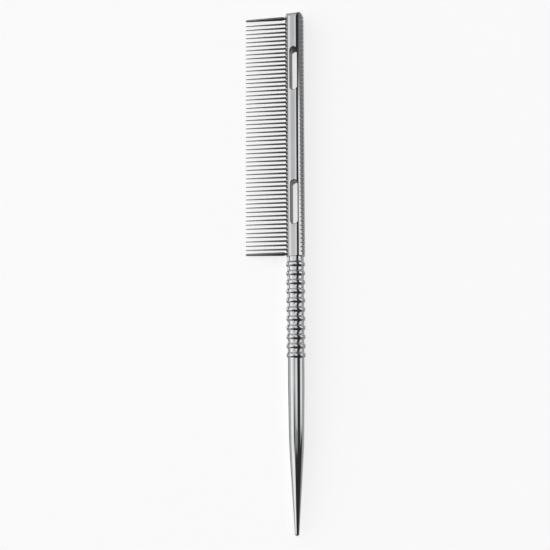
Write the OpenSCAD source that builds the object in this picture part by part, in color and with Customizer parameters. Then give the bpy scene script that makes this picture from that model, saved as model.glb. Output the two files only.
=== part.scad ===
// Metal tail comb: one turned bar with 55 fine teeth and 2 guard teeth pressed through its side.
// It lies as it would on a table, on its spine, its grip's rings and the tips of its guard teeth.
// All lengths are in millimetres. The origin is under the middle of the box round the comb,
// +Y points to the toothed end, -X to the tips of the teeth and +Z up.

/* [Bar] */
// Diameter of the toothed spine and of the grip's rings
bar_d = 8.2; // [7.8:0.1:8.6]
// Diameter of the turned-down part: the grip's grooves and the top of the tail
neck_d = 7.1; // [6.8:0.1:7.1]
// Distance from the bar's axis to the front flat
flat_h = 3.6; // [3.55:0.05:3.75]
// Lean of the front flat towards the teeth, in degrees
flat_lean = 11; // [6:1:12]
// Rounding of the end's corner on the back
back_corner_r = 2.4; // [1:0.1:3]
// Rounding of the end's corner on the tooth side
tooth_corner_r = 1.9; // [0.5:0.1:1.9]
// Rounding of the end's corner on the front flat and on the underside
front_corner_r = 2; // [0.5:0.1:2.4]

/* [Teeth] */
// Number of fine teeth between the two guard teeth
tooth_count = 55; // [40:1:56]
// Spacing of the fine teeth
tooth_pitch = 1.88; // [1.8:0.01:2]
// Distance from the bar's end to the first fine tooth
first_tooth = 5.1; // [5.1:0.05:7]
// Distance from the bar's axis to the tips of the teeth
tooth_reach = 21.8; // [18:0.1:28]
// Height of the teeth above the bar's axis
tooth_h = 1.9; // [1.7:0.1:2]
// Diameter of a fine tooth at its root
tooth_root_d = 0.92; // [0.8:0.02:0.96]
// Diameter of a fine tooth at its tip
tooth_tip_d = 0.4; // [0.3:0.05:0.6]

/* [Guard teeth] */
// Distance from the top guard tooth to the first fine tooth
guard_top_gap = 2.5; // [2:0.1:2.8]
// Distance from the last fine tooth to the bottom guard tooth
guard_bottom_gap = 2; // [2:0.1:2.8]
// Largest diameter of a guard tooth
guard_d = 1.7; // [1.4:0.1:1.8]
// Diameter of a guard tooth at its tip
guard_tip_d = 1; // [0.8:0.1:1.2]

/* [Windows] */
// Width of each window through the bar
window_w = 3.1; // [3:0.1:3.6]
// Length of each window, with its round ends
window_l = 19.3; // [14:0.1:22]

/* [Grip] */
// Number of rings on the grip
ring_count = 11; // [7:1:13]
// Spacing of the rings
ring_pitch = 3.95; // [3.6:0.01:4.4]

/* [Tail] */
// Length of the tail below the grip
tail_l = 74.5; // [65:0.1:95]
// Length of the straight shank at the top of the tail
shank_l = 10; // [5:0.5:14]
// Diameter of the tail where its long point starts
point_d = 6.4; // [6:0.1:6.6]
// Diameter of the rounded tip
tip_d = 1.9; // [1.5:0.1:2.5]

/* [Hidden] */
bar_r = bar_d / 2;
neck_r = neck_d / 2;
spine_end_land = 1.05;
neck_l = 3.33;
neck_relief = 0.05;
last_tooth = first_tooth + (tooth_count - 1) * tooth_pitch;
guard_top = first_tooth - guard_top_gap;
guard_bottom = last_tooth + guard_bottom_gap;
spine_l = guard_bottom + spine_end_land;
first_ring = spine_l + neck_l;
grip_end = first_ring + (ring_count - 0.5) * ring_pitch;
total_l = grip_end + tail_l;

// Centres of the two windows as shares of the toothed spine's length
window_places = [0.2366, 0.7834];
window_margin = 0.9;

// The bore for a tooth is stepped: wide where the tooth enters, narrow for its spigot behind
fit_gap = 0.04;
spigot_d = 0.64;
guard_shank_d = 1.2;
bore_step_x = 0.5;
end_recess = 0.25;
blind_pit_depth = 0.5;
half_chord = sqrt(bar_r * bar_r - tooth_h * tooth_h);

// V cuts across the bar's shoulders between the bores: [angle from the front, depth]
tooth_side_notch = [72, 0.55];
back_notch = [-64, 0.45];
notch_side = 1.2;
notch_l = 5;

// Shape of a ring: where its flank starts and ends on a wave from 0 to 1, and how much the groove rises
ring_flank = [0.35, 0.9];
groove_rise = 0.06;
ring_steps = 18;

// The tail tapers slowly to its point, then fast, with a soft change between the two
point_share = 0.491;
blend_share = 0.08;
blend_steps = 8;
tip_steps = 5;

// At rest the guard teeth's tips come down to the level of the spine's underside
tip_centre = tooth_reach - guard_tip_d / 2;
roll = atan(tooth_h / tip_centre)
    + asin((bar_r - guard_tip_d / 2) / sqrt(tip_centre * tip_centre + tooth_h * tooth_h));
low_x = -tip_centre * cos(roll) - tooth_h * sin(roll) - guard_tip_d / 2;
rest_x = -(low_x + bar_r) / 2;

// How far a cut runs past the surface that it opens
overrun = 0.2;
round_fn = 48;

// Names of the fine teeth, from the bar's end
function tooth_name(i) = str("tooth_", i < 10 ? "0" : "", i);

// Distance of fine tooth i from the bar's end
function tooth_place(i) = first_tooth + (i - 1) * tooth_pitch;

// Whether a row at this distance from the end meets one of the windows
function at_window(s) = len([
    for (share = window_places)
        if (abs(s - share * spine_l) < window_l / 2 + window_margin) share
]) > 0;

// Half circle of a rounded tip, as [radius, distance] points that end on the axis
function tip_points(r, end) = [
    for (k = [0 : tip_steps]) let (a = 90 * k / tip_steps) [r * cos(a), end - r + r * sin(a)]
];

// Soft step from 0 to 1 as x goes from 0 to 1
function soft_step(x) = let (c = min(max(x, 0), 1)) c * c * (3 - 2 * c);

// Radius of the grip at a distance t past the start of the first ring, counted in rings
function ring_radius(t) =
    let (wave = (1 - cos(360 * t)) / 2)
    let (flank = soft_step((wave - ring_flank[0]) / (ring_flank[1] - ring_flank[0])))
    neck_r + (bar_r - neck_r) * (groove_rise * wave + (1 - groove_rise) * flank);

grip_points = [
    for (k = [0 : ring_count * ring_steps])
        let (t = k / ring_steps)
        [ring_radius(t), first_ring - ring_pitch / 2 + t * ring_pitch]
];

// Curve from a to c that leaves a and reaches c along the lines through b
function bend(a, b, c, t) = a * (1 - t) * (1 - t) + b * 2 * t * (1 - t) + c * t * t;

shank_end = [neck_r, grip_end + shank_l];
point_start = [point_d / 2, grip_end + tail_l * point_share];
point_end = [tip_d / 2, total_l - tip_d / 2];
blend_top = point_start + (shank_end - point_start) * blend_share * 2;
blend_bottom = point_start + (point_end - point_start) * blend_share * 2;

tail_points = concat(
    [shank_end],
    [for (k = [0 : blend_steps]) bend(blend_top, point_start, blend_bottom, k / blend_steps)],
    tip_points(tip_d / 2, total_l)
);

// Bar frame: X across the comb with the teeth at -X, Y to the front, Z from the toothed end down
module turned_bar() {
    rotate_extrude($fn = round_fn)
        polygon(concat(
            [[0, 0], [bar_r, 0], [bar_r, spine_l], [neck_r - neck_relief, spine_l]],
            grip_points,
            tail_points
        ));
}

module front_flat() {
    rotate([0, 0, flat_lean])
        translate([-bar_d, flat_h, -overrun])
            cube([2 * bar_d, bar_d, spine_l + overrun]);
}

// Material outside a rounded corner at the bar's end, on the side turned from the back by an angle
module corner_cut(turn, reach, r) {
    rotate([0, 0, turn])
        translate([reach - r, bar_d, r])
            rotate([90, 0, 0])
                linear_extrude(height = 2 * bar_d)
                    difference() {
                        translate([0, -r - overrun]) square(r + overrun);
                        circle(r, $fn = round_fn);
                    }
}

module window(centre) {
    straight = window_l - window_w;
    translate([0, bar_d, centre])
        rotate([90, 0, 0])
            linear_extrude(height = 2 * bar_d) {
                square([window_w, straight], center = true);
                for (side = [-1, 1])
                    translate([0, side * straight / 2])
                        circle(d = window_w, $fn = round_fn);
            }
}

// Cylinder along X between two places, at the teeth's height
module cross_bore(d, s, from_x, to_x) {
    translate([from_x, tooth_h, s])
        rotate([0, 90, 0])
            cylinder(d = d, h = to_x - from_x, $fn = round_fn);
}

module tooth_bore(s, root_d) {
    wide = root_d + 2 * fit_gap;
    narrow = spigot_d + 2 * fit_gap;
    if (at_window(s)) {
        cross_bore(wide, s, -bar_d, overrun - window_w / 2);
        cross_bore(narrow, s, half_chord - blind_pit_depth, bar_d);
    } else {
        cross_bore(wide, s, -bar_d, bore_step_x);
        cross_bore(narrow, s, 0, bar_d);
    }
}

module notch(s, side) {
    rotate([0, 0, side[0]])
        translate([0, bar_r - side[1] + notch_side / sqrt(2), s])
            rotate([45, 0, 0])
                cube([notch_l, notch_side, notch_side], center = true);
}

module lay_down() {
    translate([rest_x, total_l / 2, bar_r])
        rotate([0, -roll, 0])
            rotate([90, 0, 0])
                children();
}

// The one-piece bar: toothed spine, ribbed grip and tapered tail
module bar() {
    color("silver")
        lay_down()
            difference() {
                turned_bar();
                front_flat();
                corner_cut(0, bar_r, back_corner_r);
                corner_cut(180, bar_r, tooth_corner_r);
                corner_cut(90 + flat_lean, flat_h, front_corner_r);
                corner_cut(-90, bar_r, front_corner_r);
                for (share = window_places) window(share * spine_l);
                for (i = [1 : tooth_count]) tooth_bore(tooth_place(i), tooth_root_d);
                for (s = [guard_top, guard_bottom]) tooth_bore(s, guard_shank_d);
                for (i = [0 : tooth_count]) {
                    notch(tooth_place(i + 0.5), tooth_side_notch);
                    notch(tooth_place(i + 0.5), back_notch);
                }
            }
}

// A pin from its outline: [radius, distance from the bar's axis towards the tips] points
module pin(s, points) {
    lay_down()
        translate([0, tooth_h, s])
            rotate([0, -90, 0])
                rotate_extrude($fn = round_fn)
                    polygon(points);
}

// Inner end of a pin: cut flush with the window, or a spigot that ends just inside the back
function inner_end(s, r) = at_window(s)
    ? [[0, window_w / 2 + fit_gap], [r, window_w / 2 + fit_gap]]
    : [
        [0, end_recess - half_chord],
        [spigot_d / 2, end_recess - half_chord],
        [spigot_d / 2, -bore_step_x + fit_gap],
        [r, -bore_step_x + fit_gap]
    ];

module fine_tooth(i) {
    s = tooth_place(i);
    root_r = tooth_root_d / 2;
    color("gainsboro")
        pin(s, concat(
            inner_end(s, root_r),
            [[root_r, bar_r]],
            tip_points(tooth_tip_d / 2, tooth_reach)
        ));
}

module guard_tooth(s) {
    shank_r = guard_shank_d / 2;
    swell = 1.2;
    color("gainsboro")
        pin(s, concat(
            inner_end(s, shank_r),
            [[shank_r, bar_r], [guard_d / 2, bar_r + swell]],
            tip_points(guard_tip_d / 2, tooth_reach)
        ));
}

bar();
guard_tooth(guard_top);  // guard_tooth_top
guard_tooth(guard_bottom);  // guard_tooth_bottom
for (i = [1 : tooth_count])
    fine_tooth(i);
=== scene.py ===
"""Looks of a polished metal tail comb that lies on a pale floor, seen from almost straight above.

The comb's own bar frame is the one it was turned in: X across the bar with the teeth at -X,
Y to the front of the bar, S down the bar from its toothed end. lay_down() takes it to the row
frame. Sizes named here are in millimetres, and meshes are in metres.
"""

import math
import random

import bmesh
import bpy
import numpy as np
from mathutils import Matrix, Vector


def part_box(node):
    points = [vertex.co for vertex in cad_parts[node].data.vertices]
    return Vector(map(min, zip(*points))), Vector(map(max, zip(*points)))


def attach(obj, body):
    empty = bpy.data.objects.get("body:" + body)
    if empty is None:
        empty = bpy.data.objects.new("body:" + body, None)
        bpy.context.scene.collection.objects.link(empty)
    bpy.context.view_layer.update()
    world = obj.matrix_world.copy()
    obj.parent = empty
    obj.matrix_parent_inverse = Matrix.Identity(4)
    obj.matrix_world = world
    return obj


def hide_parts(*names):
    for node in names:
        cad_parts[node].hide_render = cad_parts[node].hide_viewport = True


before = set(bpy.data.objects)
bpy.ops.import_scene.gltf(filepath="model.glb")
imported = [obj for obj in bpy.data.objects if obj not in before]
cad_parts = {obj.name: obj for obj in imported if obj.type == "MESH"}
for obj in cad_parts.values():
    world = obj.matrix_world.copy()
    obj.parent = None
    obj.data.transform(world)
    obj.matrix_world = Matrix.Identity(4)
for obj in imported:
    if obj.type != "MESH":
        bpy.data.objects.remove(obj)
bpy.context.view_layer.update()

MM = 0.001
SEED = 7

# The toothed spine: its front flat, the land past its last tooth, and how its edges are softened
FLAT_H = 3.6
FLAT_ANGLE = math.radians(-10.5)
SPINE_END_LAND = 1.05
STEP_FILLET = 0.3
EDGE_ROUNDING = 0.1
FLAT_ROUNDING = 0.02
END_CHAMFER = 0.12

# Buffing leaves the flat a little crowned: its extra height in the middle, and how fast that
# falls off
CROWN_H = 0.14
CROWN_RATE = 0.022

# Roundings of the bar's end: direction from the front, distance from the axis, radius.
# Where the distance is None, the corner is on the turned skin.
END_CORNERS = [
    (math.radians(90), None, 2.4),
    (math.radians(-90), None, 1.9),
    (FLAT_ANGLE, FLAT_H, 2.0),
    (math.radians(180), None, 2.0),
]
LONGEST_ROUNDING = max(radius for _, _, radius in END_CORNERS)

# V cuts across the bar's shoulders: angle from the front, and depth
TOOTH_NOTCH = (math.radians(-72), 0.55)
BACK_NOTCH = (math.radians(64), 0.45)
NOTCH_ROUNDING = 0.04

# Windows through the bar. Their places are shares of the spine's length, and the margin tells
# which teeth end in a window's wall.
WINDOW_W = 3.1
WINDOW_L = 19.3
WINDOW_PLACES = (0.2366, 0.7834)
WINDOW_MARGIN = 0.9

# A window's bevel, its outline there: (how far it grows, how far it lifts), in bevels, and the
# degrees from each point of a round end to the next
WINDOW_BEVEL = 0.16
BEVEL_STEPS = ((0, -1), (0.3, -0.4), (2, 1))
WINDOW_TURN = 7.5

# Neck and grip. A ring's flank lies between two heights of a wave from 0 to 1, and the groove
# rises a little towards it.
NECK_R = 3.55
NECK_L = 3.33
NECK_RELIEF = 0.05
RING_COUNT = 11
RING_PITCH = 3.95
RING_FLANK = (0.3, 0.92)
GROOVE_RISE = 0.06

# Tail: straight shank, slow taper, then the long point, which starts at a share of the tail's
# length
SHANK_L = 10.0
SHANK_ROUNDING = 0.025
POINT_D = 6.4
TIP_D = 1.9
POINT_SHARE = 0.491
POINT_BLEND = 6.0

# Teeth, and the bores that hold them
TOOTH_H = 1.9
TOOTH_ROOT_R = 0.46
TOOTH_TIP_R = 0.2
TOOTH_REACH = 21.8
GUARD_SHANK_R = 0.6
GUARD_R = 0.85
GUARD_TIP_R = 0.5
GUARD_SWELL = 1.2
FIT_GAP = 0.04
SPIGOT_R = 0.32
BORE_STEP_X = 0.5
END_RECESS = 0.25
BLIND_PIT_DEPTH = 0.5

# How far a tooth's tip leans at most, and the power of its height that the lean grows with
TOOTH_LEAN = 0.07
LEAN_POWER = 1.5

# Broken edges of a pin's inner end: share of the radius that is left, and length
FLUSH_END = (0.93, 0.05)
SPIGOT_END = (0.9, 0.04)

# How far a cutter runs past the surface that it opens
OVERRUN = 0.5

# Mesh steps. The stretches round the bar are in degrees from its front: start, stop and step.
COLUMN_STRETCHES = [
    (-180, -102, 7),
    (-102, -44, 2.6),
    (-44, -35, 0.6),
    (-35, 12, 2.8),
    (12, 15, 1),
    (15, 20, 0.6),
    (20, 36, 4),
    (36, 92, 3),
    (92, 180, 7),
]

# Rows down the bar. They are shares of the end's chamfer, shares of the teeth's pitch from every
# V cut and from the last one, and shares of the fillet. Those in the roundings of the end and the
# tip are in degrees.
CHAMFER_ROWS = (0, 0.04, 0.15, 0.4, 1)
NOTCH_ROWS = (-0.5, -0.36, -0.27, -0.2, -0.1, 0, 0.1, 0.2, 0.27, 0.36)
LAST_NOTCH_ROWS = (0.5, 0.9, 1.3)
FILLET_ROWS = (-0.6, 0, 0.4, 0.7, 0.9, 0.97, 0.999, 1.001, 1.3)
END_TURNS = range(20, 91, 7)
TIP_TURNS = range(15, 90, 15)

# Steps of a ring, of the tail, of a guard tooth's swell and of a tooth's tip, sides of a pin or a
# bore, and the sharpest edge of a tooth that is still shaded smooth
RING_STEPS = 20
TAIL_STEPS = 40
SWELL_STEPS = 5
TIP_STEPS = 5
ROUND_SIDES = 20
SHARP_ANGLE = math.radians(35)

# How far a point may lie from the bar's worked-out skin and still count as part of it, how well a
# face has to face the way the skin does, and how far past a window's outline its wall's points
# may lie
SKIN_TOLERANCE = 0.03
SKIN_FACING = 0.5
WALL_TOLERANCE = 0.3

# The bar's place and length come from the frame
bar_low, bar_high = (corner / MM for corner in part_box("bar"))
BAR_R = (bar_high.z - bar_low.z) / 2
AXIS_X = (bar_high.x + bar_low.x) / 2
TOTAL_L = bar_high.y - bar_low.y
TOP_Y = bar_high.y
HALF_CHORD = math.sqrt(BAR_R**2 - TOOTH_H**2)

# The comb rolls until its guard teeth's tips come down to the floor
TIP_CENTRE = TOOTH_REACH - GUARD_TIP_R
ROLL = math.atan(TOOTH_H / TIP_CENTRE)
ROLL += math.asin((BAR_R - GUARD_TIP_R) / math.hypot(TIP_CENTRE, TOOTH_H))


def tooth_place(node):
    """How far down the bar a tooth's middle is."""
    low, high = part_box(node)
    return TOP_Y - (low.y + high.y) / 2 / MM


FINE_TEETH = sorted(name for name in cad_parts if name.startswith("tooth_"))
GUARD_TEETH = ["guard_tooth_top", "guard_tooth_bottom"]
places = {name: tooth_place(name) for name in FINE_TEETH + GUARD_TEETH}
PITCH = (places[FINE_TEETH[-1]] - places[FINE_TEETH[0]]) / (len(FINE_TEETH) - 1)
NOTCHES = places[FINE_TEETH[0]] + PITCH * (np.arange(len(FINE_TEETH) + 1) - 0.5)
SPINE_END = places["guard_tooth_bottom"] + SPINE_END_LAND
FIRST_RING = SPINE_END + NECK_L
GRIP_END = FIRST_RING + (RING_COUNT - 0.5) * RING_PITCH
GRIP_START = FIRST_RING - RING_PITCH / 2


def lay_down(points):
    """Takes points (n, 3) from the bar frame in millimetres to the row frame in metres."""
    x, y, s = points[:, 0], points[:, 1], points[:, 2]
    c, k = math.cos(ROLL), math.sin(ROLL)
    return np.column_stack([AXIS_X + x * c - y * k, TOP_Y - s, BAR_R + x * k + y * c]) * MM


def pick_up(points):
    """Takes points from the row frame in metres back to the bar frame: x, y and s."""
    points = points / MM
    c, k = math.cos(ROLL), math.sin(ROLL)
    x, z = points[:, 0] - AXIS_X, points[:, 2] - BAR_R
    return x * c + z * k, -x * k + z * c, TOP_Y - points[:, 1]


def lay_down_directions(vectors):
    """Takes directions (n, 3) from the bar frame to the row frame."""
    x, y, s = vectors[:, 0], vectors[:, 1], vectors[:, 2]
    c, k = math.cos(ROLL), math.sin(ROLL)
    return np.column_stack([x * c - y * k, -s, x * k + y * c])


def at_window(s):
    """Whether a row of the comb meets one of the windows."""
    return any(abs(s - share * SPINE_END) < WINDOW_L / 2 + WINDOW_MARGIN for share in WINDOW_PLACES)


# Shape of the bar


def soft_min(a, b, width):
    """The lower of two heights, with the edge between them rounded off."""
    h = np.clip(0.5 + 0.5 * (b - a) / width, 0, 1)
    return b * (1 - h) + a * h - width * h * (1 - h)


def facing(a, angle, least=0.001):
    """Cosine of the angle between two directions, kept above zero so that it can divide."""
    return np.clip(np.cos(a - angle), least, None)


def turned_radius(s):
    """Radius of the turned bar at a place s: spine, ringed grip, tail and rounded tip."""
    t = (s - GRIP_START) / RING_PITCH
    wave = (1 - np.cos(2 * np.pi * t)) / 2
    flank = np.clip((wave - RING_FLANK[0]) / (RING_FLANK[1] - RING_FLANK[0]), 0, 1)
    flank = flank**2 * (3 - 2 * flank)
    grip = NECK_R + (BAR_R - NECK_R) * (GROOVE_RISE * wave + (1 - GROOVE_RISE) * flank)
    shank_end = GRIP_END + SHANK_L
    tail_l = TOTAL_L - GRIP_END
    point_start = GRIP_END + tail_l * POINT_SHARE
    point_end = TOTAL_L - TIP_D / 2
    upper = NECK_R + (POINT_D / 2 - NECK_R) * (s - shank_end) / (point_start - shank_end)
    lower = POINT_D / 2 + (TIP_D / 2 - POINT_D / 2) * (s - point_start) / (point_end - point_start)
    taper_change = (POINT_D - TIP_D) / 2 / (point_end - point_start)
    tail = soft_min(upper, lower, POINT_BLEND * taper_change)
    tail = soft_min(np.full_like(s, NECK_R), tail, SHANK_ROUNDING)
    tip = np.sqrt(np.clip((TIP_D / 2) ** 2 - (s - point_end) ** 2, 0, None))
    down = np.clip(s - (SPINE_END - STEP_FILLET), 0, STEP_FILLET)
    spine = BAR_R - STEP_FILLET + np.sqrt(STEP_FILLET**2 - down**2)
    neck = NECK_R - NECK_RELIEF * np.clip((GRIP_START - s) / (GRIP_START - SPINE_END), 0, 1)
    radius = np.where(s < SPINE_END, spine, neck)
    radius = np.where(s < GRIP_START, radius, np.where(s < GRIP_END, grip, tail))
    return np.where(s > point_end, tip, radius)


def notch_height(s, depth):
    """Height of the V cuts' floors above the bar's axis, along the cuts' own direction."""
    nearest = np.min(np.abs(s[..., None] - NOTCHES), axis=-1)
    return BAR_R - depth + nearest


def bar_radius(s, a, cuts=True):
    """Radius of the bar's skin at a place s and an angle a from its front towards its back."""
    radius = turned_radius(s)
    from_middle = FLAT_H * np.tan(np.clip(a - FLAT_ANGLE, -1, 1))
    flat = (FLAT_H + CROWN_H - CROWN_RATE * from_middle**2) / facing(a, FLAT_ANGLE)
    radius = np.where(s < SPINE_END, soft_min(radius, flat, FLAT_ROUNDING), radius)
    for angle, distance, corner in END_CORNERS:
        inset = corner - np.sqrt(np.clip(corner**2 - np.clip(corner - s, 0, None) ** 2, 0, None))
        reach = ((distance or BAR_R) - inset) / facing(a, angle)
        radius = np.where(s < corner, soft_min(radius, reach, EDGE_ROUNDING), radius)
    in_row = (s > NOTCHES[0] - PITCH) & (s < NOTCHES[-1] + PITCH)
    for angle, depth in (TOOTH_NOTCH, BACK_NOTCH) if cuts else ():
        floor = notch_height(s, depth) / facing(a, angle, least=0.2)
        radius = np.where(in_row, soft_min(radius, floor, NOTCH_ROUNDING), radius)
    end_step = np.clip(END_CHAMFER - s, 0, END_CHAMFER)
    return radius - (END_CHAMFER - np.sqrt(END_CHAMFER**2 - end_step**2))


def skin_points(s, a):
    """Points of the bar's skin, in the bar frame."""
    r = bar_radius(s, a)
    return np.stack([r * np.sin(a), r * np.cos(a), s], axis=-1)


def skin_normals(s, a):
    """Outward normals of the bar's skin, in the bar frame, from the slopes of its radius."""
    da, ds = 0.002, 0.01  # radians and millimetres
    r = bar_radius(s, a)
    slope_a = (bar_radius(s, a + da) - bar_radius(s, a - da)) / (2 * da * r)
    slope_s = (bar_radius(s + ds, a) - bar_radius(s - ds, a)) / (2 * ds)
    out = np.stack([np.sin(a), np.cos(a), np.zeros_like(a)], axis=-1)
    along = np.stack([np.cos(a), -np.sin(a), np.zeros_like(a)], axis=-1)
    down = np.array([0.0, 0.0, 1.0])
    n = out - slope_a[..., None] * along - slope_s[..., None] * down
    return n / np.linalg.norm(n, axis=-1, keepdims=True)


def bar_angles():
    """Angles round the bar, close together at the flat's edges and at the V cuts."""
    angles = []
    for start, stop, step in COLUMN_STRETCHES:
        count = max(1, round((stop - start) / step))
        angles += [start + (stop - start) * i / count for i in range(count)]
    return np.radians(angles)


def bar_rows():
    """Places down the bar, close together at its end, V cuts, rings and tip."""
    rows = [END_CHAMFER * share for share in CHAMFER_ROWS]
    rows += [LONGEST_ROUNDING * (1 - math.cos(math.radians(turn))) for turn in END_TURNS]
    rows += [s for notch in NOTCHES for s in notch + np.array(NOTCH_ROWS) * PITCH]
    rows += [NOTCHES[-1] + share * PITCH for share in LAST_NOTCH_ROWS]
    fillet = SPINE_END - STEP_FILLET
    rows += [fillet + STEP_FILLET * share for share in FILLET_ROWS]
    rows += [GRIP_START + RING_PITCH * k / RING_STEPS for k in range(RING_COUNT * RING_STEPS + 1)]
    point_end = TOTAL_L - TIP_D / 2
    rows += list(np.linspace(GRIP_END, point_end, TAIL_STEPS)[1:])
    rows += [point_end + TIP_D / 2 * math.sin(math.radians(turn)) for turn in TIP_TURNS]
    return np.unique(np.round(rows, 5))


def grid_faces(rows, columns):
    """Quads of a tube that is open at its ends, from rows by columns points."""
    i, j = np.meshgrid(np.arange(rows - 1), np.arange(columns), indexing="ij")
    k = (j + 1) % columns
    row, next_row = i * columns, (i + 1) * columns
    return np.stack([row + j, next_row + j, next_row + k, row + k], axis=-1).reshape(-1, 4)


def make_mesh(name, points, faces):
    """A mesh object from points in the bar frame and a list of faces."""
    mesh = bpy.data.meshes.new(name)
    places_in_row = lay_down(np.asarray(points, float)).tolist()
    mesh.from_pydata(places_in_row, [], [list(map(int, face)) for face in faces])
    shape = bmesh.new()
    shape.from_mesh(mesh)
    bmesh.ops.recalc_face_normals(shape, faces=shape.faces)
    shape.to_mesh(mesh)
    shape.free()
    thing = bpy.data.objects.new(name, mesh)
    bpy.context.scene.collection.objects.link(thing)
    return thing


def closed_tube(name, rings):
    """A mesh object from rings of equal size, (n, 3) arrays, closed by a fan at both ends."""
    columns = len(rings[0])
    points = np.concatenate(rings)
    faces = grid_faces(len(rings), columns).tolist()
    first, last = len(points), len(points) + 1
    centres = np.array([rings[0].mean(0), rings[-1].mean(0)])
    base = len(points) - columns
    for j in range(columns):
        k = (j + 1) % columns
        faces.append([first, j, k])
        faces.append([last, base + k, base + j])
    return make_mesh(name, np.concatenate([points, centres]), faces)


def cut(thing, cutters):
    """Takes the cutters away from a thing, then deletes them."""
    context = bpy.context
    for cutter in cutters:
        step = thing.modifiers.new("cut", "BOOLEAN")
        step.solver = "MANIFOLD"
        step.operation = "DIFFERENCE"
        step.object = cutter
    context.view_layer.update()
    mesh = bpy.data.meshes.new_from_object(thing.evaluated_get(context.evaluated_depsgraph_get()))
    thing.modifiers.clear()
    old = thing.data
    thing.data = mesh
    bpy.data.meshes.remove(old)
    for cutter in cutters:
        bpy.data.objects.remove(cutter)


def join(things):
    """Joins mesh objects into the first of them."""
    with bpy.context.temp_override(active_object=things[0], selected_editable_objects=things):
        bpy.ops.object.join()
    return things[0]


def window_cutter(share):
    """A long hole with bevelled rims, where it meets the flat and where it leaves the back."""
    straight = (WINDOW_L - WINDOW_W) / 2
    centre = share * SPINE_END
    turns = np.radians(np.arange(0, 360, WINDOW_TURN) + WINDOW_TURN / 2)

    def outline(grow):
        r = WINDOW_W / 2 + grow
        return r * np.cos(turns), centre + r * np.sin(turns) + np.sign(np.sin(turns)) * straight

    def front(x):
        flat = (FLAT_H - x * math.sin(FLAT_ANGLE)) / math.cos(FLAT_ANGLE)
        return np.minimum(flat, np.sqrt(BAR_R**2 - x**2))

    def back(x):
        return -np.sqrt(BAR_R**2 - x**2)

    rings = []
    for surface, sign in ((front, 1), (back, -1)):
        for grow, lift in BEVEL_STEPS:
            x, s = outline(WINDOW_BEVEL * grow)
            rings.append(np.column_stack([x, surface(x) + sign * WINDOW_BEVEL * lift, s]))

    def raised(ring, y):
        return np.column_stack([ring[:, 0], np.full(len(ring), y), ring[:, 2]])

    front_rings, back_rings = rings[: len(BEVEL_STEPS)], rings[len(BEVEL_STEPS) :]
    outside = BAR_R + OVERRUN
    top, bottom = raised(front_rings[-1], outside), raised(back_rings[-1], -outside)
    return closed_tube("window_cutter", [top, *reversed(front_rings), *back_rings, bottom])


def bore_cutter(s, profile):
    """A stepped drill along X at the teeth's height. The profile lists (x, radius)."""
    turns = np.linspace(0, 2 * np.pi, ROUND_SIDES, endpoint=False)
    rings = []
    for x, r in profile:
        y, along = TOOTH_H + r * np.sin(turns), s + r * np.cos(turns)
        rings.append(np.column_stack([np.full_like(turns, x), y, along]))
    return closed_tube("bore_cutter", rings)


def bore_cutters():
    """Drills for the teeth: right through the bar, or a bore and a blind pit beside a window."""
    cutters = []
    narrow, outside = SPIGOT_R + FIT_GAP, BAR_R + OVERRUN
    for name, s in places.items():
        wide = (TOOTH_ROOT_R if name in FINE_TEETH else GUARD_SHANK_R) + FIT_GAP
        mouth, back = (-outside, wide), (outside, narrow)
        if at_window(s):
            cutters.append(bore_cutter(s, [mouth, (OVERRUN - WINDOW_W / 2, wide)]))
            cutters.append(bore_cutter(s, [(HALF_CHORD - BLIND_PIT_DEPTH, narrow), back]))
        else:
            steps = [mouth, (BORE_STEP_X, wide), (BORE_STEP_X, narrow), back]
            cutters.append(bore_cutter(s, steps))
    return cutters


def read_all(items, key, kind=float, width=1):
    """One property of every vertex, face or corner of a mesh, as an array."""
    values = np.empty(len(items) * width, kind)
    items.foreach_get(key, values)
    return values if width == 1 else values.reshape(-1, width)


def shade_skin(thing):
    """Smooth shading with the skin's exact normals, and flat walls in bores and windows.

    Also notes how much shade to paint on each point, from how deep it lies in a V cut, and returns
    a number for each face: 0 for the skin, 1 for a window's wall, 2 for a bore.
    """
    mesh = thing.data
    x, y, s = pick_up(read_all(mesh.vertices, "co", width=3))
    a, r = np.arctan2(x, y), np.hypot(x, y)
    on_skin = np.abs(r - bar_radius(s, a)) < SKIN_TOLERANCE
    normals = lay_down_directions(skin_normals(s, a))
    vertex_of = read_all(mesh.loops, "vertex_index", np.int32)
    starts = read_all(mesh.polygons, "loop_start", np.int32)
    sizes = read_all(mesh.polygons, "loop_total", np.int32)
    face_of = np.repeat(np.arange(len(sizes)), sizes)
    face_normals = read_all(mesh.polygons, "normal", width=3)[face_of]
    fits = np.einsum("ij,ij->i", normals[vertex_of], face_normals) > SKIN_FACING
    good = on_skin[vertex_of] & fits
    whole = np.minimum.reduceat(good, starts)
    use = whole[face_of]
    corner_normals = np.where(use[:, None], normals[vertex_of], face_normals)
    mesh.shade_smooth()
    mesh.normals_split_custom_set(corner_normals.tolist())
    # Painted shade: the deeper a point lies in a V cut, the darker it is painted.
    depth = np.where(on_skin, bar_radius(s, a, cuts=False) - r, 0)
    set_painted_shade(mesh, np.clip(depth / TOOTH_NOTCH[1], 0, 1))
    in_window = np.zeros(len(s), bool)
    for share in WINDOW_PLACES:
        in_length = np.abs(s - share * SPINE_END) < WINDOW_L / 2 + WALL_TOLERANCE
        in_window |= in_length & (np.abs(x) < WINDOW_W / 2 + WALL_TOLERANCE)
    window_face = np.minimum.reduceat(in_window[vertex_of], starts)
    return np.where(whole, 0, np.where(window_face, 1, 2))


def set_painted_shade(mesh, values):
    """Stores how much shade is painted on each point, from 0 to 1, for the materials."""
    painted_shade = mesh.attributes.new("painted_shade", "FLOAT", "POINT")
    painted_shade.data.foreach_set("value", np.asarray(values, np.float32))


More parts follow.
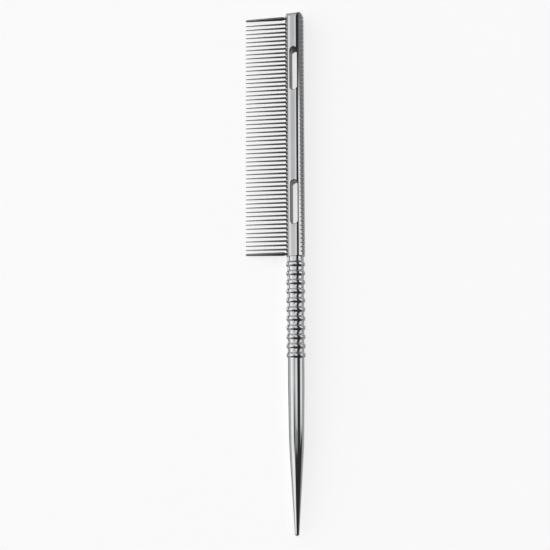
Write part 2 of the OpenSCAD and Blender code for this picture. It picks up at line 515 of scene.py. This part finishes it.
def build_bar():
    """The one-piece bar, with its windows, bores and V cuts."""
    s, a = np.meshgrid(bar_rows(), bar_angles(), indexing="ij")
    bar = closed_tube("comb_bar", list(skin_points(s, a)))
    cut(bar, [window_cutter(share) for share in WINDOW_PLACES])
    cut(bar, [join(bore_cutters())])
    return bar, shade_skin(bar)


def tip_profile(r):
    """Half circle of a tooth's rounded tip, as (distance from the bar's axis, radius) points."""
    turns = [math.radians(90 * k / TIP_STEPS) for k in range(TIP_STEPS)]
    return [(TOOTH_REACH - r + r * math.sin(t), r * math.cos(t)) for t in turns]


def pin_profile(s, guard):
    """Outline of a pin from inner end to tip, as (distance from the bar's axis, radius) points."""
    root = GUARD_SHANK_R if guard else TOOTH_ROOT_R
    if at_window(s):
        left, broken = FLUSH_END
        start = WINDOW_W / 2 + FIT_GAP
        profile = [(start, root * left), (start + broken, root)]
    else:
        left, broken = SPIGOT_END
        start, step = END_RECESS - HALF_CHORD, -BORE_STEP_X + FIT_GAP
        profile = [(start, SPIGOT_R * left), (start + broken, SPIGOT_R)]
        profile += [(step, SPIGOT_R), (step, root)]
    profile.append((BAR_R, root))
    if guard:
        for t in [k / SWELL_STEPS for k in range(1, SWELL_STEPS + 1)]:
            swell = (GUARD_R - root) * (3 - 2 * t) * t * t
            profile.append((BAR_R + GUARD_SWELL * t, root + swell))
    return profile + tip_profile(GUARD_TIP_R if guard else TOOTH_TIP_R)


def build_tooth(name, node, rng):
    """A tapered pin, set in its bore, that leans a very little from its neighbours."""
    s = places[node]
    profile = pin_profile(s, node in GUARD_TEETH)
    lean = rng.uniform(-TOOTH_LEAN, TOOTH_LEAN)
    turns = np.linspace(0, 2 * np.pi, ROUND_SIDES, endpoint=False)
    out = [np.clip((distance - BAR_R) / (TOOTH_REACH - BAR_R), 0, 1) for distance, _ in profile]
    rings = []
    for (distance, r), share in zip(profile, out):
        middle = s + lean * share**LEAN_POWER
        x, y = np.full_like(turns, -distance), TOOTH_H + r * np.cos(turns)
        rings.append(np.column_stack([x, y, middle + r * np.sin(turns)]))
    tooth = closed_tube(name, rings)
    # Painted shade: each tooth is painted darker towards the bar, and darkest inside its bore.
    painted_shade = 1 - np.array(out)
    set_painted_shade(tooth.data, np.concatenate([np.repeat(painted_shade, ROUND_SIDES), painted_shade[[0, -1]]]))
    tooth.data.shade_smooth()
    tooth.data.set_sharp_from_angle(angle=SHARP_ANGLE)
    return tooth


# Materials. The patterns' scales are in repeats to a metre, and the polishing waves' is a share
# of the drawn grain's.
CLOUD_SCALE = 160
SPECK_SCALE = 1400
BLOTCH_SCALE = 2500
BLOTCH_DEPTH = 0.01
BLOTCH_ROUGHNESS = 0.1
WAVE_SHARE = 0.35


def add_node(tree, kind, **settings):
    """A shader node with its settings: its properties, or its inputs with _ for a space."""
    made = tree.nodes.new(kind)
    for key, value in settings.items():
        label = key.replace("_", " ")
        if key in made.bl_rna.properties:
            setattr(made, key, value)
        elif isinstance(value, bpy.types.NodeSocket):
            tree.links.new(value, made.inputs[label])
        else:
            made.inputs[label].default_value = value
    return made


def math_node(tree, operation, *values):
    """A maths node, whose values are numbers or sockets."""
    made = tree.nodes.new("ShaderNodeMath")
    made.operation = operation
    for slot, value in zip(made.inputs, values):
        if isinstance(value, bpy.types.NodeSocket):
            tree.links.new(value, slot)
        else:
            slot.default_value = value
    return made.outputs[0]


def map_range(tree, value, from_low, from_high, to_low, to_high, smooth=False):
    """Takes a socket's value from one range to another, and holds it at the ends."""
    made = tree.nodes.new("ShaderNodeMapRange")
    made.interpolation_type = "SMOOTHSTEP" if smooth else "LINEAR"
    tree.links.new(value, made.inputs["Value"])
    ranges = {"From Min": from_low, "From Max": from_high, "To Min": to_low, "To Max": to_high}
    for label, number in ranges.items():
        made.inputs[label].default_value = number
    return made.outputs[0]


def noise(tree, place, scale, detail, roughness):
    """A noise texture's value at a place."""
    settings = {"Vector": place, "Scale": scale, "Detail": detail, "Roughness": roughness}
    return add_node(tree, "ShaderNodeTexNoise", **settings).outputs[0]


def bump(tree, height, depth, under=None):
    """A pattern's bumps of so many millimetres as a normal, on top of another one or none."""
    made = add_node(tree, "ShaderNodeBump", Strength=1.0, Distance=depth * MM, Height=height)
    if under is not None:
        tree.links.new(under, made.inputs["Normal"])
    return made.outputs[0]


def new_metal(name):
    """A metal material: itself, its node tree, its shader and the socket of places on the piece."""
    material = bpy.data.materials.new(name)
    material.use_nodes = True
    tree = material.node_tree
    shader = tree.nodes["Principled BSDF"]
    shader.inputs["Metallic"].default_value = 1
    return material, tree, shader, add_node(tree, "ShaderNodeTexCoord").outputs["Object"]


def mix_colours(tree, factor, first, second):
    """Mixes two colours, each a socket or three numbers, by a factor socket."""
    made = add_node(tree, "ShaderNodeMix", data_type="RGBA")
    tree.links.new(factor, made.inputs["Factor"])
    for slot, colour in zip([s for s in made.inputs if s.type == "RGBA"], (first, second)):
        if isinstance(colour, bpy.types.NodeSocket):
            tree.links.new(colour, slot)
        else:
            slot.default_value = (*colour, 1)
    return [s for s in made.outputs if s.type == "RGBA"][0]


def steel(name, dark, light, smooth, rough, grain, grain_mm, wave_mm, shade_colour, shade_rough):
    """Polished steel: cloudy colour, drawn grain, soft polishing waves, fine scratches, and painted
    shade with specks of grime.

    dark and light are the colours that the clouds run between, and smooth and rough the roughness.
    grain is the drawn grain's scale along each axis, and grain_mm and wave_mm are bump heights.
    The last two arguments are the colour and the extra roughness of the painted shade, which lies
    deep in the V cuts and towards the teeth's roots, with specks of grime.
    """
    material, tree, shader, place = new_metal(name)
    wave_grain = [WAVE_SHARE * value for value in grain]
    drawn = add_node(tree, "ShaderNodeMapping", Vector=place, Scale=grain).outputs[0]
    waved = add_node(tree, "ShaderNodeMapping", Vector=place, Scale=wave_grain).outputs[0]
    cloud = noise(tree, place, CLOUD_SCALE, detail=3, roughness=0.55)
    streaks = noise(tree, drawn, 1, detail=3, roughness=0.6)
    waves = noise(tree, waved, 1, detail=1, roughness=0.4)
    specks = noise(tree, place, SPECK_SCALE, detail=2, roughness=0.7)
    # Painted shade read from the mesh's attribute, broken up by specks of grime
    painted_shade = add_node(tree, "ShaderNodeAttribute", attribute_name="painted_shade").outputs["Fac"]
    shade_and_grime = math_node(tree, "MULTIPLY", painted_shade, map_range(tree, specks, 0.3, 0.7, 0.75, 1))
    mottle = math_node(tree, "MULTIPLY", cloud, streaks)
    clean = mix_colours(tree, mottle, dark, light)
    tree.links.new(mix_colours(tree, shade_and_grime, clean, shade_colour), shader.inputs["Base Color"])
    polish = map_range(tree, mottle, 0.1, 0.45, smooth, rough)
    extra = math_node(tree, "MULTIPLY", shade_and_grime, shade_rough)
    tree.links.new(math_node(tree, "ADD", polish, extra), shader.inputs["Roughness"])
    normal = bump(tree, waves, wave_mm, under=bump(tree, streaks, grain_mm))
    tree.links.new(normal, shader.inputs["Normal"])
    return material


def shaded_bore_finish(name, dark, light, rough):
    """Unpolished bore metal: painted near black as shade in the holes, blotchy with residue, and
    rough.
    """
    material, tree, shader, place = new_metal(name)
    blotches = noise(tree, place, BLOTCH_SCALE, detail=3, roughness=0.6)
    low, high = rough - BLOTCH_ROUGHNESS, rough + BLOTCH_ROUGHNESS
    tree.links.new(mix_colours(tree, blotches, dark, light), shader.inputs["Base Color"])
    tree.links.new(map_range(tree, blotches, 0.3, 0.7, low, high), shader.inputs["Roughness"])
    tree.links.new(bump(tree, blotches, BLOTCH_DEPTH), shader.inputs["Normal"])
    return material


def dress(thing, node_names, slot, *materials, kinds=None):
    """Puts materials on a piece, one for each kind of face, and ties it to the frame."""
    thing.data.materials.clear()
    for material in materials:
        thing.data.materials.append(material)
    if kinds is not None:
        thing.data.polygons.foreach_set("material_index", np.asarray(kinds, np.int32))
    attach(thing, "root")
    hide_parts(*node_names)


# Stage, light and camera. The floor's half side is in metres.
FLOOR_HALF = 1.5
FLOOR_COLOUR = (0.8, 0.8, 0.8, 1)
FLOOR_ROUGHNESS = 0.6
FLOOR_GLOW = 0.72


def build_floor():
    """A plain pale floor that glows softly. The metal reflects the soft boxes in its place."""
    mesh = bpy.data.meshes.new("floor")
    corners = [(FLOOR_HALF * x, FLOOR_HALF * y, 0) for x, y in ((-1, -1), (1, -1), (1, 1), (-1, 1))]
    mesh.from_pydata(corners, [], [(0, 1, 2, 3)])
    floor = bpy.data.objects.new("floor", mesh)
    bpy.context.scene.collection.objects.link(floor)
    material = bpy.data.materials.new("pale_floor")
    material.use_nodes = True
    shader = material.node_tree.nodes["Principled BSDF"]
    shader.inputs["Base Color"].default_value = FLOOR_COLOUR
    shader.inputs["Roughness"].default_value = FLOOR_ROUGHNESS
    shader.inputs["Emission Color"].default_value = (1, 1, 1, 1)
    shader.inputs["Emission Strength"].default_value = FLOOR_GLOW
    mesh.materials.append(material)
    floor.visible_glossy = False


# Soft boxes round the comb. Each one spans angles in degrees across the bar, from straight up
# towards +X, and angles along it, from square to the bar towards its toothed end:
# (low, high, low end, high end, level). The low ones and the floor ones stand for the pale floor.
SOFT_BOXES = {
    "left": (-97, -47, -30, 36, 0.85),
    "left_core": (-91, -60, -30, 36, 1.05),
    "left_end": (-67, -35, -30, -7, 1.0),
    "low_left_near": (-124, -99, 3, 15, 0.32),
    "low_left": (-150, -121, 3, 24, 1.0),
    "low_left_end": (-146, -99, -18, 4, 0.5),
    "between": (-57, -23, 4, 36, 0.57),
    "between_near": (-57, -23, 4, 12, 0.66),
    "between_right": (-40, -23, 4, 36, 0.8),
    "between_low": (-59, -27, -1.5, 5, 0.57),
    "top": (-25, 2, 4, 27, 0.74),
    "top_low": (-21, 8, -3.2, 5, 0.84),
    "top_end": (-31, 11, -7.5, -2, 0.3),
    "right": (50, 85, -3, 5, 0.85),
    "right_fade": (49, 65, -5, -2, 0.4),
    "right_end": (36, 80, 4.5, 9.5, 1.0),
    "right_end_mid": (36, 67, 8, 12, 1.0),
    "right_end_top": (36, 59, 10.5, 16.5, 1.0),
    "right_side": (56, 86, 5, 24, 0.2),
    "right_top": (44, 99, 16, 30, 0.15),
    "low_right": (104, 181, -18, 32, 0.42),
    "low_right_edge": (84, 104, -18, 24, 0.33),
    "lip": (-75, -15, 27, 66, 0.5),
    "above": (-100, 100, 34, 91, 0.12),
    "floor_left_above": (-181, -112, 36, 91, 0.6),
    "floor_right_above": (106, 181, 34, 91, 0.6),
    "floor_left_below": (-181, -108, -91, -26, 0.4),
    "floor_right_below": (108, 181, -91, -26, 0.4),
}

# The width of the boxes' soft edges in degrees, the level of the dark room between them, and the
# colour that the camera sees past the floor
SOFT_EDGE = 4
ROOM_LEVEL = 0.03
BACKDROP = (0.75, 0.75, 0.76)


def ramp(tree, angle, middle, start, end):
    """A soft change from start to end about an angle in degrees."""
    low, high = math.radians(middle - SOFT_EDGE / 2), math.radians(middle + SOFT_EDGE / 2)
    return map_range(tree, angle, low, high, start, end, smooth=True)


def band(tree, angle, low, high):
    """1 between two angles in degrees and 0 outside them, with soft edges."""
    return math_node(tree, "MULTIPLY", ramp(tree, angle, low, 0, 1), ramp(tree, angle, high, 1, 0))


def build_world():
    """A dark tent with the soft boxes in it. The camera sees a plain pale backdrop instead."""
    world = bpy.data.worlds.new("tent")
    bpy.context.scene.world = world
    world.use_nodes = True
    tree = world.node_tree
    background = tree.nodes["Background"]
    place = add_node(tree, "ShaderNodeTexCoord").outputs["Generated"]
    split = add_node(tree, "ShaderNodeSeparateXYZ", Vector=place).outputs
    across = math_node(tree, "ARCTAN2", split[0], split[2])
    along = math_node(tree, "ARCSINE", split[1])
    level = ROOM_LEVEL
    for low, high, low_end, high_end, strength in SOFT_BOXES.values():
        inside = [band(tree, across, low, high), band(tree, along, low_end, high_end)]
        box = math_node(tree, "MULTIPLY", *inside)
        level = math_node(tree, "MAXIMUM", level, math_node(tree, "MULTIPLY", box, strength))
    seen = add_node(tree, "ShaderNodeLightPath").outputs["Is Camera Ray"]
    tree.links.new(mix_colours(tree, seen, level, BACKDROP), background.inputs["Color"])


# The camera's distance, its lean across the comb, its tilt along it and its roll, and where it
# looks: millimetres from the bar's axis, and from the origin along the bar. The focal length and
# the side of the picture are in pixels of the photo, and the clipping distances in metres.
CAMERA_DISTANCE = 473.7
CAMERA_LEAN = math.radians(-4.89)
CAMERA_TILT = math.radians(6.73)
CAMERA_ROLL = math.radians(0.19)
CAMERA_TARGET = (-9.06, -3.255)
PHOTO_FOCAL = 1090.0
PHOTO_SIDE = 550.0
SENSOR_MM = 36
CLIP_START, CLIP_END = 0.01, 20


def build_camera():
    """The photo's camera: almost straight above, a little from the tooth side and from the tail."""
    data = bpy.data.cameras.new("camera")
    camera = bpy.data.objects.new("camera", data)
    bpy.context.scene.collection.objects.link(camera)
    data.sensor_width = SENSOR_MM
    data.lens = SENSOR_MM * PHOTO_FOCAL / PHOTO_SIDE
    square = Vector((math.sin(CAMERA_LEAN), 0, math.cos(CAMERA_LEAN)))
    along = Vector((0, 1, 0))
    across = along.cross(square)
    back = square * math.cos(CAMERA_TILT) - along * math.sin(CAMERA_TILT)
    level_up = along * math.cos(CAMERA_TILT) + square * math.sin(CAMERA_TILT)
    right = across * math.cos(CAMERA_ROLL) - level_up * math.sin(CAMERA_ROLL)
    up = level_up * math.cos(CAMERA_ROLL) + across * math.sin(CAMERA_ROLL)
    target = Vector((AXIS_X + CAMERA_TARGET[0], CAMERA_TARGET[1], BAR_R))
    place = target + back * CAMERA_DISTANCE
    turn = Matrix((right, up, back)).transposed().to_4x4()
    camera.matrix_world = Matrix.Translation(place * MM) @ turn
    data.clip_start, data.clip_end = CLIP_START, CLIP_END
    bpy.context.scene.camera = camera


def build():
    """The whole comb, piece by piece, on its stage."""
    bpy.context.scene.view_settings.view_transform = "Standard"
    # Colour of the painted shade, with grime, deep in the V cuts
    shade_and_grime = (0.1, 0.098, 0.095)
    bar_steel = steel(
        "polished_bar",
        dark=(0.74, 0.745, 0.76),
        light=(0.9, 0.9, 0.905),
        smooth=0.03,
        rough=0.1,
        grain=(2200, 30, 2200),
        grain_mm=0.003,
        wave_mm=0.014,
        shade_colour=shade_and_grime,
        shade_rough=0.1,
    )
    # The windows' walls are painted nearly black: painted shade in the deep slots.
    shaded_wall_metal = steel(
        "wall_painted_shade",
        dark=(0.1, 0.1, 0.105),
        light=(0.18, 0.18, 0.18),
        smooth=0.12,
        rough=0.25,
        grain=(1500, 1500, 200),
        grain_mm=0.004,
        wave_mm=0.004,
        shade_colour=shade_and_grime,
        shade_rough=0.1,
    )
    # The teeth's steel is painted darker than the bar's: painted shade, so that the teeth read as
    # dark lines, and the shade attribute darkens them more towards their roots.
    tooth_steel = steel(
        "teeth_painted_dark",
        dark=(0.4, 0.4, 0.41),
        light=(0.6, 0.6, 0.6),
        smooth=0.1,
        rough=0.22,
        grain=(60, 900, 900),
        grain_mm=0.001,
        wave_mm=0.001,
        shade_colour=(0.17, 0.17, 0.17),
        shade_rough=0.08,
    )
    # Painted shade in the bores, partly dark residue
    bore_painted_shade = shaded_bore_finish("bore_painted_shade", dark=(0.05, 0.05, 0.05), light=(0.14, 0.135, 0.13), rough=0.5)
    bar, kinds = build_bar()
    dress(bar, ["bar"], "bar_steel", bar_steel, shaded_wall_metal, bore_painted_shade, kinds=kinds)
    rng = random.Random(SEED)
    for node in FINE_TEETH + GUARD_TEETH:
        dress(build_tooth("pin_" + node, node, rng), [node], "tooth_steel", tooth_steel)
    build_floor()
    build_world()
    build_camera()


build()
